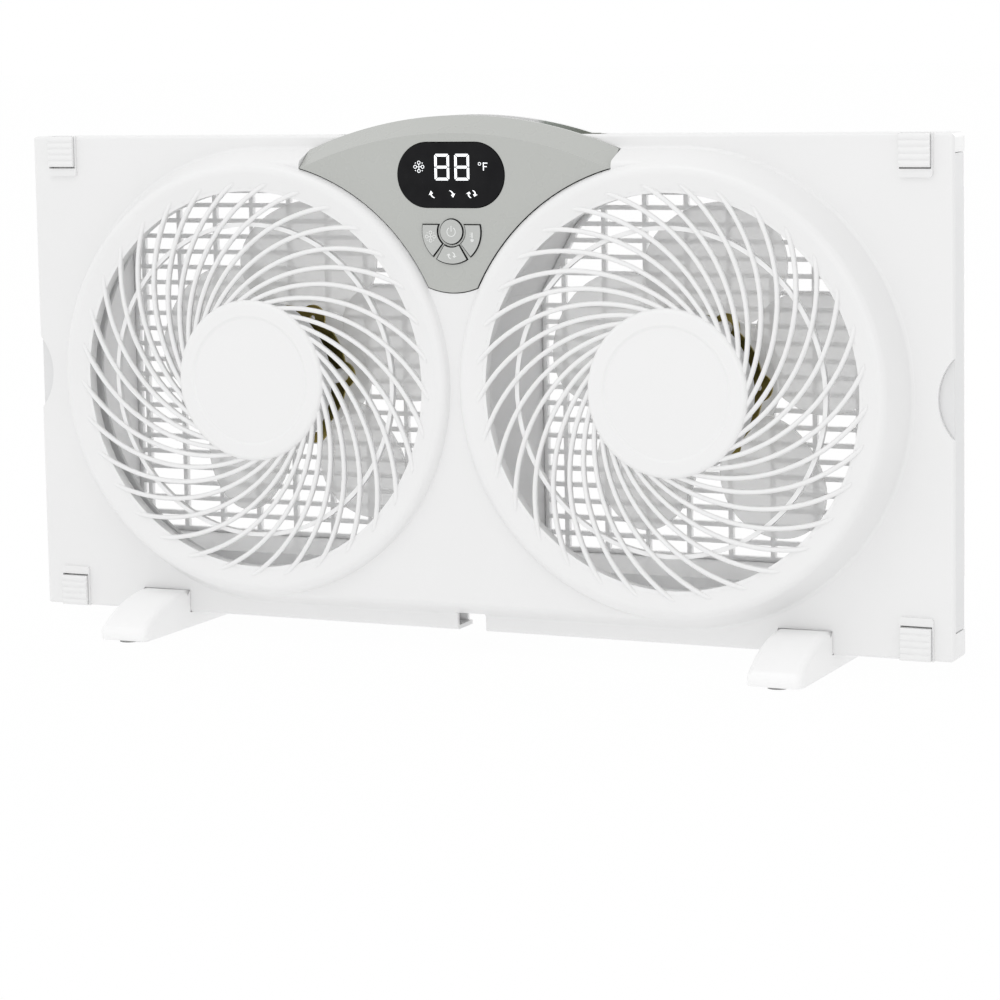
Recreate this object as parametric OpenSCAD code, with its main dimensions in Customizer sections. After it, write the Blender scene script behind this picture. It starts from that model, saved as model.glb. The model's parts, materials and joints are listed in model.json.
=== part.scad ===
// Twin window fan: a flat frame with two round air openings behind spiral grilles, a fan and
// motor in each, a digital control panel, extender panels that slide out of the sides and a
// pair of clip-on feet. X runs across the window, Y from the room to the outside, Z upwards.
// Every sub-part is drawn from the front face and lower edge of the frame, and place() moves
// it so that the origin lies on the floor under the middle of the whole product.

/* [Frame] */
// Width of the window frame
body_w = 600; // [590:2:680]
// Height of the window frame
body_h = 298; // [296:1:316]
// Depth of the flat frame
frame_t = 21; // [20.5:0.5:26]
// Wall thickness of the mouldings
wall = 2.5; // [2.2:0.1:2.8]
// Clearance between pieces that fit together
gap = 0.3; // [0.2:0.05:0.35]
// Width of the notch in the middle of the lower edge
notch_w = 18.8; // [14:0.2:22]
// Height of that notch
notch_h = 11; // [8:0.5:12]
// Length of the finger recess in each side
recess_len = 47; // [40:1:60]
// Depth of the finger recess
recess_depth = 9.5; // [5:0.5:11]
// Radius of the frame's rounded front edges
frame_round = 2; // [1:0.1:2.1]
// Radius of the frame's corners
corner_r = 3; // [2.2:0.2:5]

/* [Air openings] */
// Distance of each fan axis from the middle
fan_x = 136; // [134:0.5:142]
// Height of the fan axes above the lower edge
fan_z = 150; // [148:0.5:154]
// Radius of each round air opening
opening_r = 115; // [112:0.5:116]
// Height of the raised plateau in front of the frame
plateau_h = 17; // [16:0.5:19]
// Radius of the rounding along the plateau's upper edge
plateau_round = 4; // [2:0.5:5]
// Radius of the fillet round the plateau's foot
fillet_r = 3; // [1.5:0.5:4]
// Distance from the opening to the plateau's foot
plateau_reach = 25; // [23:0.5:26]
// Height of the rolled bezel above the plateau
bezel_rise = 5.4; // [4.6:0.2:6.4]
// Radius of the bezel's rolled crest
bezel_round = 5.4; // [4.6:0.1:6]
// Width of the bezel from the opening to its crest
bezel_w = 12; // [11:0.5:13]

/* [Grilles] */
// Number of curved ribs in each grille
rib_count = 33; // [24:1:36]
// Width of a rib
rib_w = 2.9; // [2.2:0.1:3.2]
// Depth of a rib
rib_depth = 4.5; // [3.5:0.1:6]
// Radius of a rib's curve
rib_curve_r = 106.5; // [104:0.5:110]
// Distance of a rib's centre of curvature from the fan axis
rib_offset = 68; // [66:0.5:70]
// Radius of the hub disc
hub_r = 49.3; // [48:0.1:52]
// Radius of the hub's rounded rim
hub_round = 3; // [1.5:0.5:4]
// Radius of the shallow inner disc of the hub
hub_inner_r = 39.7; // [36:0.1:42]
// Distance of the hub's face in front of the frame
hub_front = 23; // [22.5:0.5:25]
// Radius of the thin ring behind the ribs
ring_r = 95; // [80:1:104]

/* [Fans and motors] */
// Number of blades on a fan
blade_count = 5; // [3:1:6]
// Clearance between the blade tips and the opening's radius
tip_gap = 9; // [7:0.5:14]
// Radius of a fan's hub
fan_hub_r = 38; // [34:0.5:42]
// Thickness of a blade
blade_t = 2.2; // [1.6:0.1:3]
// Pitch of a blade in degrees
blade_pitch = 26; // [20:0.5:28]
// Radius of the blade's camber
blade_camber_r = 120; // [110:1:160]
// Half width of a blade
blade_half_w = 38; // [30:0.5:39]
// Radius of the motor's shaft
shaft_r = 4; // [3:0.1:5]
// Running clearance round the shaft
bearing_gap = 0.05; // [0.02:0.01:0.1]
// Radius of the motor's casing
motor_r = 35; // [30:0.5:35.5]
// Radius on which the motor screws stand
motor_post_ring = 40; // [39.5:0.1:41]

/* [Control panel] */
// Half width of the panel across its side tips
panel_half_w = 101.5; // [96:0.5:106]
// Height of the arched top above the frame
panel_rise = 12; // [8:0.5:16]
// Radius of the arched top edge
arch_r = 263; // [255:1:300]
// Width of the sloping band under the arched edge
panel_bevel = 10; // [6:0.5:12]
// Distance from the openings to the panel's curved sides
panel_side_gap = 18; // [17:0.5:19]
// Height of the panel's lower end above the fan axes
panel_low = 55; // [50:1:60]
// Width of the display lens
lens_w = 69; // [60:1:74]
// Height of the display lens
lens_h = 38; // [32:1:39]
// Height of the lens centre below the top of the arch
lens_drop = 35; // [33:0.5:37]
// Height of the digits
digit_h = 15.9; // [12:0.1:18]
// Radius of the round power button
power_r = 7.3; // [6:0.1:7.5]
// Outer radius of the three buttons round it
sector_r = 19; // [17:0.1:20]
// Gap between neighbouring buttons
button_gap = 2; // [1.8:0.1:2.4]
// Height of the button group below the top of the arch
button_drop = 68.3; // [67:0.1:70]
// Travel of a button
button_travel = 1; // [0.6:0.1:1.4]

/* [Rear housing] */
// Depth of the product from the frame's face to the back of the rear grilles
rear_depth = 86; // [84:1:96]
// Distance of the air box from each side of the frame
box_side = 19; // [17:0.5:22]
// Height of the air box's floor above the lower edge
box_floor = 37; // [34:0.5:40]
// Distance of the air box's ceiling from the upper edge
box_head = 36; // [32:0.5:40]
// Width of the core between the two air ducts
core_w = 26; // [22:0.5:30]
// Spacing of the rear grille's horizontal bars
row_pitch = 10.1; // [9:0.1:14]
// Spacing of the rear grille's upright bars
column_pitch = 27; // [20:0.5:36]
// Thickness of the rear grille's bars
bar_w = 2.8; // [2:0.1:3.5]
// Depth of the rear grilles
grille_t = 4; // [3:0.5:5]

/* [Handle] */
// Half width of the hand slot's tray
tray_half_w = 90; // [80:1:94]
// Depth of the tray below the upper edge
tray_depth = 22; // [16:1:26]

/* [Extenders and locks] */
// Width of the extender's end stile
stile_w = 12; // [10:0.1:12.2]
// Thickness of the extender's panel
web_t = 3; // [2:0.1:4]
// Travel of each extender
extender_travel = 38; // [20:1:40]
// Height of the frame's block under each extender
block_low = 16; // [15:0.5:18]
// Height of the frame's block over each extender
block_high = 11; // [10:0.5:12]
// Width of a slide lock
lock_w = 18; // [15:0.5:20]
// Length of a slide lock
lock_len = 18.8; // [16:0.2:20]
// Travel of a slide lock
lock_travel = 5; // [2:0.5:5]

/* [Feet] */
// Width of a foot
foot_w = 33; // [26:1:40]
// Distance of each foot's centre from the side of the frame
foot_side = 88.5; // [85:0.5:110]
// Height of the frame's lower edge above the bottom of a foot
foot_drop = 9.5; // [8:0.5:14]
// Thickness of a rubber pad that shows
pad_t = 1.5; // [1:0.1:2.5]
// Reach of a foot in front of the frame and behind it
foot_reach = 56; // [50:1:62]
// Height of a foot's clip over the frame's lower edge
foot_clip_h = 14; // [11:0.5:15]

/* [Hidden] */
$fn = 96;
// A span that surely passes through whatever it cuts
far = 900;
// Small depth that joins two drawn shapes into one solid
bite = 0.5;
// Depth by which a rounding crosses the faces that it blends
blend = 0.03;

side_x = body_w / 2;
inner_x = side_x - wall;
rim_t = 2;
rim_depth = 5;
seat_gap = 0.05;
tube_r = opening_r + rim_t + wall;
rim_r = opening_r + rim_t - seat_gap;
plateau_r = opening_r + plateau_reach;
crest_r = opening_r + bezel_w;
crest_front = plateau_h + bezel_rise;
crest = [crest_r, crest_front - bezel_round];
bezel_seat = plateau_h + 2.5;
tube_end = bezel_seat - rim_depth - 2;
// The bezel's inner cone, as an angle and as its rise per millimetre of radius
bezel_slope = atan2(crest[1] - bezel_seat, bezel_w)
              + asin((bezel_round - blend) / norm([bezel_w, crest[1] - bezel_seat]));
inner_touch = crest + (bezel_round - blend) * [-sin(bezel_slope), cos(bezel_slope)];
cone_rise = tan(bezel_slope);
rim_front = bezel_seat + (rim_r - opening_r) * cone_rise;
// Lean of the plateau's side, which runs on as the bezel's outer slope up to its crest
side_lean = atan2(plateau_reach - bezel_w, crest[1])
            - asin((bezel_round - blend) / norm([plateau_reach - bezel_w, crest[1]]));
plateau_slope = plateau_h * tan(side_lean);
flange_t = wall;
notch_step = 2;
flange_y = frame_t - flange_t;

// Panel
arch_z = body_h + panel_rise - arch_r;
panel_side_r = opening_r + panel_side_gap;
panel_front = plateau_h + 0.5;
panel_t = 2.5;
panel_back = panel_front - panel_t;
panel_skirt = 2.2;
panel_seam = 0.4;
panel_edge_y = 3;
panel_floor_z = fan_z + panel_low;
panel_toe_r = 44;
ledge_w = 4;
lens_z = body_h + panel_rise - lens_drop;
button_z = body_h + panel_rise - button_drop;
sector_in = power_r + button_gap;
sector_mid = (sector_in + sector_r) / 2;
button_clear = 0.3;
button_lip = 0.8;
button_proud = 0.9;
sector_stem_angle = 195;
stem_r = 2;
board_t = 1.6;
board_front = 5.5;
switch_h = 3.4;
plunger_h = 1;
stem_end = board_front + switch_h + plunger_h + button_travel + 0.2;
board_top_z = lens_z + 12;
board_low_z = panel_floor_z + 8;
board_half_w = 46;
post_r = 3;
pilot_r = 1.5;
screw_r = 1.4;
board_posts = [[-41, lens_z - 3], [41, lens_z - 3], [-6.5, board_low_z + 3.6], [6.5, board_low_z + 3.6]];
arch_rear_h = 7;
lens_proud = 0.4;
lens_lip = 1.5;
lip_t = 1;
led_half_w = 26;
switch_half_w = 3;

// Air box
box_x = side_x - box_side;
box_wall = 2.2;
duct_x = box_x - box_wall;
duct_low = box_floor;
duct_high = body_h - box_head;
core_x = core_w / 2;
flare_start = 49;
flare_w = 23;
flare_top_w = 44;
flare_h = 41;
flare_z = fan_z + flare_start;
flare_x = core_x + flare_w;
flare_top_x = core_x + flare_top_w;
flare_mid_z = flare_z + flare_h;
power_post_h = 12;
power_board_y = rear_depth - wall - power_post_h;
power_post_x = 18;
power_board_drop = 13;
power_board_z = duct_high - power_board_drop;
power_board_w = 52;
power_board_h = 18;
coil_h = 14;
coil_depth = 16;
capacitor_r = 5;
gland_y = rear_depth - 30;
gland_r = 5;
gland_bore_r = 3.2;
gland_flange_r = 7.5;
gland_flange_t = 3;

// Extenders and locks
stile_x = side_x - gap - stile_w;
web_x = fan_x + 14;
web_y = 9;
web_cut_r = opening_r + 9;
stile_z0 = block_low + gap;
stile_z1 = body_h - block_high - gap;
rail_h = 3;
rail_y = web_y - 3;
lock_x = stile_x - 2 * gap - lock_w / 2;
lock_front = 4;
lock_back = wall + gap;
lock_tongue = 5;
lock_tongue_t = 1.6;
lock_tongue_side = 3;
lock_slot_y = lock_back + bite + gap;
lock_surround = 1;
lock_surround_end = 6;
lock_surround_r = 2;
lock_ribs = 5;
lock_rib_r = 2.6;
lock_wave = 1.1;
lock_end = 0.2;
lock_slot_end = 1;
lock_border_t = 1.6;
boss_r = 2.6;
screw_low_z = 7.6;
screw_top_z = body_h - 5.1;
screw_xs = [60 - side_x, -112, 112, side_x - 60];
screw_len = 12;
screw_head_r = 2.4;
screw_head_t = 1.8;
big_head_r = 3;
big_head_t = 2;
board_screw_len = 8;
board_head_r = 2.7;
board_head_t = 1.6;

// Motor and fan, as distances behind the frame's face
post_end = 23.4;
bracket_t = 1.6;
hub_t = 3;
hub_step = 0.8;
hub_step_w = 1.6;
hub_back = 9;
motor_front = hub_front - hub_t - gap;
bearing_boss_r = 11.5;
bearing_boss_end = 27.5;
rotor_r = 24.4;
rotor_y0 = -8.7;
rotor_y1 = 12.7;
fan_y0 = 30;
fan_y1 = 70;
fan_wall = 2.2;
fan_tip_r = opening_r - tip_gap;
blade_mid_y = 51;
blade_mid_r = 68;
blade_lean = 4;
shaft_y0 = -15;
nut_len = 6;
shaft_end = fan_y1 + nut_len + 3;
motor_post_r = 4.2;
press_gap = 0.02;
fan_boss_r = 9;
nut_flat_r = 7.5;
nut_step = 1.5;
nut_r = 6;
lobe_r = 8.3;

// Feet
foot_x = side_x - foot_side;
foot_low = -foot_drop;
toe_x = 4;
nose_r = 7;
nose = [nose_r - foot_reach, foot_low + 3];
toe_dy = -toe_x - nose[0];
toe_dz = foot_clip_h - nose[1];
toe_r = (pow(toe_dy, 2) + pow(toe_dz, 2) - pow(nose_r, 2)) / (2 * (toe_dz - nose_r));
heel_y = frame_t + foot_reach;
pad_r = 6;
pad_sink = 0.8;
pad_in = 9;

floor_z = foot_drop + pad_t;
middle_y = (rear_depth - foot_reach) / 2;

// Puts a sub-part drawn from the frame's face and lower edge where it belongs over the origin
module place() {
  translate([0, -middle_y, floor_z]) children();
}

// Extrudes a shape drawn as seen from the room, from depth y0 to depth y1
module front_view(y0, y1) {
  translate([0, y1, 0]) rotate([90, 0, 0]) linear_extrude(height = y1 - y0) children();
}

// Extrudes a profile drawn in depth and height along X
module side_view(x0, x1) {
  translate([x0, 0, 0]) rotate([90, 0, 90]) linear_extrude(height = x1 - x0) children();
}

// Turns a shape to a fan axis: its own +Z points to the room
module on_axis(side) {
  translate([side * fan_x, 0, fan_z]) rotate([90, 0, 0]) children();
}

// Ring round a fan axis between two depths
module disc(side, r, y0, y1) {
  on_axis(side) translate([0, 0, -y1]) cylinder(r = r, h = y1 - y0);
}

module box(p, q) {
  translate(p) cube([q[0] - p[0], q[1] - p[1], q[2] - p[2]]);
}

module on_both_sides() {
  children();
  mirror([1, 0, 0]) children();
}

// ---------------------------------------------------------------- front housing

// Depth and length outline of the flat frame with its front edges rounded
module rounded_front(span) {
  translate([0, frame_round]) square([frame_t, span - 2 * frame_round]);
  translate([frame_round, 0]) square([frame_t - frame_round, span]);
  for (at = [frame_round, span - frame_round]) translate([frame_round, at]) circle(r = frame_round);
}

// Flat frame with rounded corners and front edges
module slab() {
  intersection() {
    front_view(0, frame_t) {
      translate([-side_x, corner_r]) square([body_w, body_h - 2 * corner_r]);
      translate([corner_r - side_x, 0]) square([body_w - 2 * corner_r, body_h]);
      for (x = [-1, 1] * (side_x - corner_r), z = [corner_r, body_h - corner_r])
        translate([x, z]) circle(r = corner_r);
    }
    side_view(-side_x, side_x) rounded_front(body_h);
    linear_extrude(height = body_h) translate([-side_x, 0]) mirror([1, -1]) rounded_front(body_w);
  }
}

// Half section of the raised stadium, shrunk by t: distance from its middle line and to the room
module plateau_section(t, y_end, edge_r) {
  h = plateau_h - t;
  r = plateau_r - t;
  lean = atan2(plateau_slope, h);
  edge = [r - (h - edge_r) * tan(lean) - edge_r / cos(lean), h - edge_r];
  polygon([[-1, -y_end], [r, -y_end], [r, 0], edge + edge_r * [cos(lean), sin(lean)],
           edge + [0, edge_r], [-1, h]]);
  translate(edge) circle(r = edge_r);
}

// Raised stadium in front of the frame, shrunk by t on every side
module plateau(t, y_end) {
  r = plateau_r - t;
  for (side = [-1, 1]) on_axis(side) {
    cylinder(r1 = r, r2 = r - plateau_slope, h = plateau_h - t);
    translate([0, 0, -y_end]) cylinder(r = r, h = y_end);
  }
  side_view(-fan_x, fan_x) translate([0, fan_z]) for (m = [0, 1]) mirror([0, m]) rotate(90)
    plateau_section(t, y_end, plateau_round - t / 2);
}

// Half section of the fillet between the plateau's side and the frame
module fillet_section() {
  centre = [plateau_r + fillet_r * tan(45 - side_lean / 2), fillet_r];
  touch = centre - fillet_r * [cos(side_lean), sin(side_lean)];
  difference() {
    polygon([[plateau_r - 2, -bite], [centre[0], -bite], centre, touch, [plateau_r - 2, touch[1]]]);
    translate(centre) circle(r = fillet_r + blend);
  }
}

module plateau_fillet() {
  for (side = [-1, 1]) on_axis(side) rotate_extrude() fillet_section();
  side_view(-fan_x, fan_x) translate([0, fan_z]) for (m = [0, 1]) mirror([0, m]) rotate(90) fillet_section();
}

// Half section of a bezel and its tube, with the rebate that takes the grille's rim
module bezel_section() {
  outer_touch = crest + (bezel_round - blend) * [cos(side_lean), sin(side_lean)];
  foot_r = plateau_r - plateau_slope;
  difference() {
    union() {
      polygon([[opening_r, bezel_seat], inner_touch, crest, outer_touch, [foot_r, plateau_h],
               [foot_r, plateau_h - wall], [tube_r + 1, plateau_h - wall], [tube_r, plateau_h - wall - 1],
               [tube_r, tube_end], [opening_r, tube_end]]);
      intersection() {
        translate(crest) circle(r = bezel_round);
        translate([crest_r - bezel_round, plateau_h - 1]) square(far);
      }
    }
    translate([opening_r - 1, bezel_seat - rim_depth - seat_gap]) square([1 + rim_t, far]);
  }
}

// Outline of the panel without its arched top, grown by g
module panel_sides(g) {
  difference() {
    union() {
      translate([-panel_half_w - g, panel_floor_z + 3.5]) square([2 * (panel_half_w + g), far]);
      translate([0, panel_floor_z + panel_toe_r]) circle(r = panel_toe_r + g);
    }
    for (side = [-1, 1]) translate([side * fan_x, fan_z]) circle(r = panel_side_r - g);
    translate([-far, panel_floor_z + panel_toe_r]) square([far - panel_half_w - g, far]);
    translate([panel_half_w + g, panel_floor_z + panel_toe_r]) square([far, far]);
  }
}

// Body under the arched top edge, grown by g, from its front at depth -front to depth back
module arch_body(g, front, back) {
  translate([0, 0, arch_z]) rotate([90, 0, 0]) {
    translate([0, 0, panel_edge_y])
      cylinder(r1 = arch_r + g, r2 = arch_r - panel_bevel + g, h = front - panel_edge_y, $fn = 360);
    translate([0, 0, -back]) cylinder(r = arch_r + g, h = panel_edge_y + back, $fn = 360);
  }
}

// Whole body of the panel grown by g
module panel_body(g, front, back) {
  intersection() {
    front_view(-front, back) panel_sides(g);
    arch_body(g, front, back);
  }
}

module lock_seat(grow, z_extra) {
  translate([lock_x - lock_w / 2 - grow, 0]) square([lock_w + 2 * grow, lock_len + z_extra]);
}

// Raised border of a lock's slot, with its inner corners rounded
module lock_border() {
  r = lock_surround_r;
  lock_seat(lock_surround, lock_surround_end - r);
  lock_seat(lock_surround - r, lock_surround_end);
  for (x = [-1, 1] * (lock_w / 2 + lock_surround - r))
    translate([lock_x + x, lock_len + lock_surround_end - r]) circle(r = r);
}

// Copies a shape drawn at the lower right corner to all four corners
module at_corners() {
  for (up = [0, 1]) translate([0, up * body_h]) mirror([0, up]) for (m = [0, 1]) mirror([m, 0]) children();
}

module front_housing() color("white") {
  difference() {
    union() {
      difference() {
        union() {
          slab();
          plateau(0, bite);
          plateau_fillet();
        }
        box([-inner_x, wall, wall], [inner_x, far, body_h - wall]);
        plateau(wall, wall + bite);
        for (side = [-1, 1]) disc(side, crest_r, -far, wall + bite);
        // The sides are open where the extenders slide out
        box([-far, wall, block_low], [far, far, body_h - block_high]);
      }
      // Seat of the control panel: a pocket in the plateau with a ledge at its bottom
      intersection() {
        front_view(-plateau_h, wall) difference() {
          panel_sides(wall);
          panel_sides(0);
        }
        plateau(0, wall);
      }
      front_view(0, wall) difference() {
        intersection() {
          panel_sides(wall);
          translate([-far / 2, 0]) square([far, fan_z + plateau_r - wall]);
        }
        panel_sides(-ledge_w);
      }
      for (side = [-1, 1]) on_axis(side) rotate_extrude() bezel_section();
      front_view(-lock_border_t, bite) at_corners() lock_border();
      // Corner blocks that guide the extenders' end stiles
      on_both_sides() {
        box([stile_x + bite, bite, block_low - wall], [side_x - frame_round, frame_t, block_low]);
        box([stile_x + bite, bite, body_h - block_high],
            [side_x - frame_round, frame_t, body_h - block_high + wall]);
      }
      for (x = screw_xs, z = [screw_low_z, screw_top_z])
        translate([x, flange_y - gap, z]) rotate([90, 0, 0]) cylinder(r = boss_r, h = flange_y - gap - bite);
    }
    // Pocket of the panel, cut down to the ledge
    panel_body(0, 60, 0);
    intersection() {
      front_view(-far, wall + bite) panel_sides(-ledge_w);
      box([-far, -far, 0], [far, far, fan_z + plateau_r - 6]);
    }
    // Slots of the slide locks, open to the upper and lower edges
    front_view(-far, lock_slot_y) at_corners() translate([0, -far])
      lock_seat(gap, far + lock_end + lock_slot_end);
    // Finger recesses, notch and hand slot
    recess_r = (pow(recess_len / 2, 2) + pow(recess_depth, 2)) / (2 * recess_depth);
    on_both_sides() front_view(-far, wall + bite)
      translate([side_x - recess_depth + recess_r, body_h / 2]) circle(r = recess_r);
    box([-notch_w / 2, -far, -far], [notch_w / 2, far, notch_h]);
    box([-tray_half_w - gap, wall, body_h - wall - bite], [tray_half_w + gap, flange_y, far]);
    for (x = screw_xs, z = [screw_low_z, screw_top_z])
      translate([x, flange_y, z]) rotate([90, 0, 0]) cylinder(r = pilot_r, h = flange_y - wall - 2);
  }
}

// ---------------------------------------------------------------- grilles

// Angle at a rib's centre of curvature between the fan axis and a point at radius r
function rib_angle(r) =
  acos((pow(rib_offset, 2) + pow(rib_curve_r, 2) - pow(r, 2)) / (2 * rib_offset * rib_curve_r));

rib_front = crest_front - 1.2;
rib_back = rib_front - rib_depth;
rib_back_w = 1.2;
ring_w = 2.6;
ring_t = 3.3;
// A rib ends where it still stands this far out of the bezel's cone
rib_tip_t = 0.3;
rib_tip_r = opening_r + (rib_front - rib_tip_t - seat_gap - bezel_seat) / cone_rise;
rib_start = rib_angle(hub_r - 2.4);
rib_end = rib_angle(crest_r - 2);

module rib() {
  translate([rib_offset, 0, 0]) rotate([0, 0, 180 - rib_end])
    rotate_extrude(angle = rib_end - rib_start) translate([rib_curve_r, rib_front - rib_w / 2]) {
      polygon([[-rib_w / 2, 0], [-rib_back_w / 2, rib_w / 2 - rib_depth],
               [rib_back_w / 2, rib_w / 2 - rib_depth], [rib_w / 2, 0]]);
      intersection() {
        circle(r = rib_w / 2);
        translate([-rib_w, 0]) square(2 * rib_w);
      }
    }
}

// Space inside the bezel that the ribs may fill
module rib_room() {
  rotate_extrude() polygon([[0, 0], [rim_r, 0], [rim_r, rim_front + seat_gap],
                            [rib_tip_r, rib_front - rib_tip_t], [rib_tip_r, far], [0, far]]);
}

module grille() {
  on_axis(-1) {
    for (k = [0 : rib_count - 1]) intersection() {
      rotate([0, 0, k * 360 / rib_count]) rib();
      rib_room();
    }
    // Support ring behind the ribs, and the rim that seats in the opening
    rotate_extrude() {
      translate([ring_r - ring_w / 2, rib_back - 1]) square([ring_w, ring_t]);
      polygon([[opening_r, bezel_seat - rim_depth], [rim_r, bezel_seat - rim_depth], [rim_r, rim_front],
               [opening_r, bezel_seat]]);
    }
    // Hub: a cup with a rounded rim and a shallow inner disc on its face
    rotate_extrude() {
      corner = [hub_r - hub_round, hub_front - hub_round];
      polygon([[0, hub_front - hub_step], [hub_inner_r - hub_step_w, hub_front - hub_step],
               [hub_inner_r, hub_front], [corner[0], hub_front], [hub_r, corner[1]], [hub_r, hub_back],
               [hub_r - wall, hub_back], [hub_r - wall, hub_front - hub_t - 1],
               [hub_r - wall - 1, hub_front - hub_t], [0, hub_front - hub_t]]);
      intersection() {
        translate(corner) circle(r = hub_round);
        translate(corner) square(hub_round + 1);
      }
    }
    difference() {
      for (a = [0 : 120 : 240]) rotate([0, 0, a]) translate([motor_post_ring, 0, -post_end])
        cylinder(r = motor_post_r, h = post_end + hub_front - 2);
      for (a = [0 : 120 : 240]) rotate([0, 0, a]) translate([motor_post_ring, 0, -post_end - 1])
        cylinder(r = pilot_r, h = 14);
    }
  }
}

module grille_left() color("white") grille();
module grille_right() color("white") mirror([1, 0, 0]) grille();

// ---------------------------------------------------------------- control panel

module stadium(w, h, g) {
  union() {
    for (s = [-1, 1]) translate([s * (w - h) / 2, lens_z]) circle(r = h / 2 + g);
    translate([-(w - h) / 2, lens_z - h / 2 - g]) square([w - h, h + 2 * g]);
  }
}

module wedge(a0, a1) {
  polygon([[0, 0], 60 * [cos(a0), sin(a0)], 60 * [cos((a0 + a1) / 2), sin((a0 + a1) / 2)],
           60 * [cos(a1), sin(a1)]]);
}

// One of the buttons round the power button, grown by g
module sector_shape(a0, a1, g) {
  da = g * 180 / PI / sector_mid;
  translate([0, button_z]) intersection() {
    difference() {
      circle(r = sector_r + g);
      circle(r = sector_in - g);
    }
    wedge(a0 - da, a1 + da);
    translate([-far, -far]) square([2 * far, far + 4 + g]);
  }
}

module fan_button_shape(g) { sector_shape(140, 230, g); }
module airflow_button_shape(g) { sector_shape(239, 301, g); }
module temperature_button_shape(g) { sector_shape(-50, 40, g); }
module power_button_shape(g) { translate([0, button_z]) circle(r = power_r + g); }

module control_panel() color([0.72, 0.73, 0.71]) {
  difference() {
    union() {
      difference() {
        panel_body(-panel_seam, panel_front, -gap);
        // Hollow back; the slope that rises over the frame keeps a rear wall
        intersection() {
          panel_body(-panel_seam - panel_skirt, panel_back, bite);
          union() {
            box([-far, -far, 0], [far, -panel_edge_y, far]);
            box([-far, -far, 0], [far, far, body_h - arch_rear_h]);
          }
        }
      }
      for (p = board_posts) translate([p[0], -board_front, p[1]]) rotate([90, 0, 0])
        cylinder(r = post_r, h = panel_front - board_front - 1);
    }
    front_view(-far, 0) stadium(lens_w, lens_h, gap);
    front_view(-far, -board_front - 2) {
      fan_button_shape(button_clear);
      airflow_button_shape(button_clear);
      temperature_button_shape(button_clear);
      power_button_shape(button_clear);
    }
    for (p = board_posts) translate([p[0], 0, p[1]]) rotate([90, 0, 0])
      cylinder(r = pilot_r, h = panel_front - 4);
  }
}

module display_lens() color([0.1, 0.1, 0.1]) {
  front_view(-panel_front - lens_proud, -panel_back) stadium(lens_w, lens_h, 0);
  front_view(-panel_back, lip_t - panel_back) stadium(lens_w, lens_h, lens_lip);
}

// Seven-segment figure as thin raised bars
module digit() {
  w = digit_h * 0.6;
  t = 1.7;
  for (z = [0, digit_h / 2 - t / 2, digit_h - t]) translate([t * 0.7, z]) square([w - 1.4 * t, t]);
  for (x = [0, w - t], z = [t * 0.6, digit_h / 2 + t * 0.2])
    translate([x, z]) square([t, digit_h / 2 - t * 0.8]);
}

module led_display() color([0.9, 0.9, 0.9]) {
  box([-led_half_w, lip_t + gap - panel_back, lens_z - 15], [led_half_w, -board_front, lens_z + 12]);
  front_view(lip_t + 0.1 - panel_back, lip_t + 1 - panel_back)
    for (x = [-11, 2.3]) translate([x, lens_z - 3]) digit();
}

module board_shape() {
  difference() {
    translate([-board_half_w, board_low_z]) square([2 * board_half_w, board_top_z - board_low_z]);
    for (side = [-1, 1]) translate([side * fan_x, fan_z])
      circle(r = panel_side_r + panel_seam + panel_skirt + 2 * gap);
  }
}

module control_board() color([0.1, 0.35, 0.2]) {
  difference() {
    front_view(-board_front, board_t - board_front) board_shape();
    for (p = board_posts) translate([p[0], 0, p[1]]) rotate([90, 0, 0]) cylinder(r = pilot_r + gap, h = 20);
  }
}

// Centres of the four buttons' stems
stem_points = [[0, button_z],
               [sector_mid * cos(sector_stem_angle), button_z + sector_mid * sin(sector_stem_angle)],
               [0, button_z - sector_mid],
               [-sector_mid * cos(sector_stem_angle), button_z + sector_mid * sin(sector_stem_angle)]];

module tact_switches() color([0.15, 0.15, 0.15]) {
  for (p = stem_points) {
    box([p[0] - switch_half_w, -board_front - switch_h, p[1] - switch_half_w],
        [p[0] + switch_half_w, -board_front, p[1] + switch_half_w]);
    translate([p[0], -board_front - switch_h + bite, p[1]]) rotate([90, 0, 0])
      cylinder(r = 1.6, h = plunger_h + bite);
  }
}

module board_screws() color("silver") {
  for (p = board_posts) translate([p[0], board_t - board_front, p[1]]) rotate([90, 0, 0]) {
    cylinder(r = screw_r, h = board_screw_len);
    translate([0, 0, -board_head_t]) cylinder(r = board_head_r, h = board_head_t);
  }
}

module button_stem(p) {
  translate([p[0], -stem_end, p[1]]) rotate([90, 0, 0]) cylinder(r = stem_r, h = panel_front - stem_end - 1);
}

// Cap that shows, lip behind the panel and stem; the first child is the cap's shape, the second the lip's
module button(stem) color([0.75, 0.76, 0.74]) {
  front_view(-panel_front - button_proud, lip_t - panel_back) children(0);
  front_view(gap - panel_back, lip_t + gap - panel_back) children(1);
  button_stem(stem);
}

module power_button() button(stem_points[0]) {
  power_button_shape(0);
  power_button_shape(button_lip);
}

module fan_button() button(stem_points[1]) {
  fan_button_shape(0);
  fan_button_shape(button_lip);
}

module airflow_button() button(stem_points[2]) {
  airflow_button_shape(0);
  airflow_button_shape(button_lip);
}

module temperature_button() button(stem_points[3]) {
  temperature_button_shape(0);
  temperature_button_shape(button_lip);
}

// ---------------------------------------------------------------- rear housing

// Opening of the right air duct, grown by g
module duct(g) {
  polygon([[core_x - g, duct_low - g], [duct_x + g, duct_low - g], [duct_x + g, duct_high + g],
           [flare_top_x - g, duct_high + g], [flare_x - g, flare_mid_z + g / 2],
           [core_x - g, flare_z + g / 2]]);
}

// Core between the ducts, narrowed by g on either side
module core(g) {
  difference() {
    translate([-duct_x, duct_low]) square([2 * duct_x, duct_high - duct_low]);
    duct(g);
    mirror([1, 0]) duct(g);
  }
}

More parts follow.
